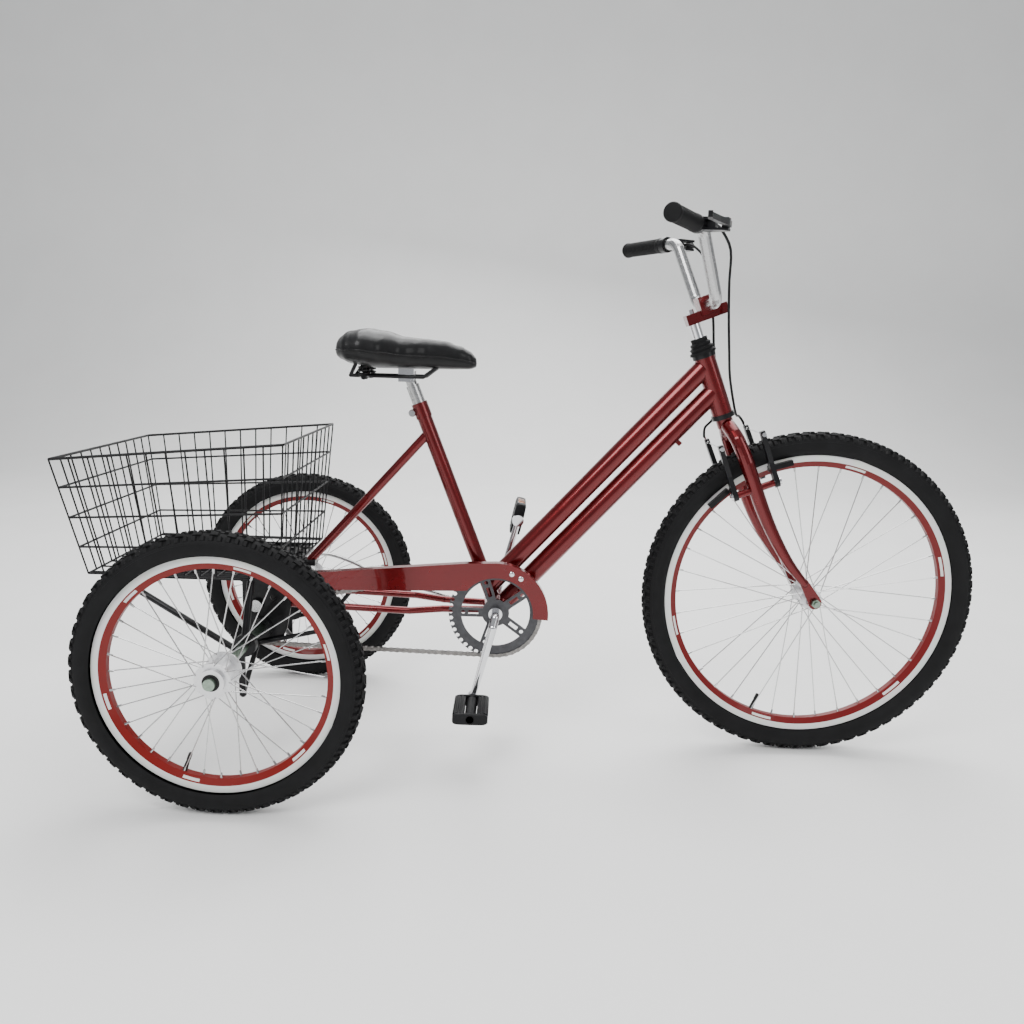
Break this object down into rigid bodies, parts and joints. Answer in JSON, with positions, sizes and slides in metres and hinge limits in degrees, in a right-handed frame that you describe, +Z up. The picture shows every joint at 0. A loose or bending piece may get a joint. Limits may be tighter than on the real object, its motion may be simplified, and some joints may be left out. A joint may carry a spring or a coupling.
{
  "type": "adult tricycle",
  "caption": "Adult tricycle with a large front wheel, twin main tubes, a chain drive to the rear axle, rim brakes on the fork and a wire basket behind the saddle.",
  "frame": {"origin": "on the floor, at the centre of the bounding box's underside", "axes": "+X forward to the front wheel, +Y to the rider's left, +Z up"},
  "size_m": [1.738, 0.713, 1.0335],
  "materials": {
    "frame_paint": "metallic gloss",
    "rim_paint": "gloss",
    "black_paint": "satin",
    "tyre_rubber": "matte",
    "soft_rubber": "matte",
    "cable_housing": "gloss",
    "black_plastic": "matte",
    "alloy": "satin",
    "chrome": "polished",
    "steel": "satin",
    "dark_steel": "satin",
    "saddle_vinyl": "soft"
  },
  "bodies": {
    "frame": {"head_tube": "frame_paint", "upper_main_tube": "frame_paint", "lower_main_tube": "frame_paint", "seat_tube": "frame_paint", "seat_stay": "frame_paint", "chain_stays": "frame_paint", "bottom_bracket_shell": "frame_paint", "seat_clamp_bolt": "chrome", "chain_guard": "frame_paint", "headset_cups": "black_paint", "headset_boot": "soft_rubber", "chain": "steel", "carrier_frame": "black_paint", "carrier_side_plates": "black_paint", "axle_bearings": "steel", "brace_rod": "steel", "round_reflector": "steel", "basket_floor": "black_paint", "basket_side_walls": "black_paint", "basket_end_walls": "black_paint", "basket_bracket": "black_paint"},
    "steering": {"fork": "frame_paint", "brake_pivot_bolts": "chrome", "stem": "frame_paint", "stem_quill": "chrome", "handlebar": "alloy", "grips": "soft_rubber", "lever_perches": "black_plastic", "front_brake_cable": "cable_housing", "rear_brake_cable": "cable_housing", "brake_noodles": "chrome", "front_axle": "steel"},
    "front_wheel": {"front_tyre": "tyre_rubber", "front_rim": "rim_paint", "front_hub": "alloy", "front_spokes": "steel"},
    "rear_axle_set": {"rear_axle": "steel", "sprocket": "dark_steel", "right_tyre": "tyre_rubber", "right_rim": "rim_paint", "right_hub": "alloy", "right_spokes": "steel"},
    "left_wheel": {"left_tyre": "tyre_rubber", "left_rim": "rim_paint", "left_hub": "alloy", "left_spokes": "steel"},
    "crank_set": {"crank": "chrome", "chainring": "dark_steel"},
    "right_pedal": {"right_pedal": "black_plastic"},
    "left_pedal": {"left_pedal": "black_plastic"},
    "right_lever": {"right_brake_lever": "black_plastic"},
    "left_lever": {"left_brake_lever": "black_plastic"},
    "front_right_arm": {"front_right_brake_arm": "black_paint"},
    "front_left_arm": {"front_left_brake_arm": "black_paint"},
    "rear_right_arm": {"rear_right_brake_arm": "black_paint"},
    "rear_left_arm": {"rear_left_brake_arm": "black_paint"},
    "seat_post_body": {"seat_post": "alloy"},
    "seat": {"saddle": "saddle_vinyl", "saddle_rails": "black_paint", "saddle_clamp": "chrome"}
  },
  "joints": [
    {"name": "steering_turn", "type": "hinge", "parent": "frame", "child": "steering", "pos_m": [0.3425, 0, 0.69], "axis": [-0.3665, 0, 0.9304], "range_deg": [-45, 45]},
    {"name": "front_wheel_spin", "type": "hinge", "parent": "steering", "child": "front_wheel", "pos_m": [0.5385, 0, 0.3305], "axis": [0, 1, 0], "continuous": true},
    {"name": "rear_axle_spin", "type": "hinge", "parent": "frame", "child": "rear_axle_set", "pos_m": [-0.5445, 0, 0.25], "axis": [0, 1, 0], "continuous": true},
    {"name": "left_wheel_spin", "type": "hinge", "parent": "frame", "child": "left_wheel", "pos_m": [-0.5445, 0.311, 0.25], "axis": [0, 1, 0], "continuous": true},
    {"name": "crank_spin", "type": "hinge", "parent": "frame", "child": "crank_set", "pos_m": [-0.0855, 0, 0.287], "axis": [0, 1, 0], "continuous": true},
    {"name": "right_pedal_spin", "type": "hinge", "parent": "crank_set", "child": "right_pedal", "pos_m": [-0.12542, -0.145, 0.1269], "axis": [0, 1, 0], "continuous": true},
    {"name": "left_pedal_spin", "type": "hinge", "parent": "crank_set", "child": "left_pedal", "pos_m": [-0.04558, 0.145, 0.4471], "axis": [0, 1, 0], "continuous": true},
    {"name": "right_lever_pull", "type": "hinge", "parent": "steering", "child": "right_lever", "pos_m": [0.28735, -0.15194, 1.018], "axis": [0, 0, -1], "range_deg": [0, 13], "stiffness_Nm_per_rad": 2, "springref_deg": -2.86},
    {"name": "left_lever_pull", "type": "hinge", "parent": "steering", "child": "left_lever", "pos_m": [0.28735, 0.15194, 1.018], "axis": [0, 0, 1], "range_deg": [0, 13], "stiffness_Nm_per_rad": 2, "springref_deg": -2.86},
    {"name": "front_right_arm_turn", "type": "hinge", "parent": "steering", "child": "front_right_arm", "pos_m": [0.4438, -0.05, 0.56654], "axis": [-0.9304, 0, -0.3665], "range_deg": [0, 3.8]},
    {"name": "front_left_arm_turn", "type": "hinge", "parent": "steering", "child": "front_left_arm", "pos_m": [0.4438, 0.05, 0.56654], "axis": [0.9304, 0, 0.3665], "range_deg": [0, 3.8]},
    {"name": "rear_right_arm_turn", "type": "hinge", "parent": "steering", "child": "rear_right_arm", "pos_m": [0.3675, -0.05, 0.53648], "axis": [-0.9304, 0, -0.3665], "range_deg": [0, 3.8]},
    {"name": "rear_left_arm_turn", "type": "hinge", "parent": "steering", "child": "rear_left_arm", "pos_m": [0.3675, 0.05, 0.53648], "axis": [0.9304, 0, 0.3665], "range_deg": [0, 3.8]},
    {"name": "seat_height", "type": "slide", "parent": "frame", "child": "seat_post_body", "axis": [-0.3665, 0, 0.9304], "range_m": [-0.03, 0.06]},
    {"name": "saddle_tilt", "type": "hinge", "parent": "seat_post_body", "child": "seat", "pos_m": [-0.26472, 0, 0.74197], "axis": [0, 1, 0], "range_deg": [-8, 8]}
  ],
  "couplings": [
    {"joint": "crank_spin", "follows": "rear_axle_spin", "ratio": 0.45454},
    {"joint": "front_right_arm_turn", "follows": "right_lever_pull", "ratio": 0.285},
    {"joint": "front_left_arm_turn", "follows": "right_lever_pull", "ratio": 0.285},
    {"joint": "rear_right_arm_turn", "follows": "left_lever_pull", "ratio": 0.285},
    {"joint": "rear_left_arm_turn", "follows": "left_lever_pull", "ratio": 0.285}
  ]
}
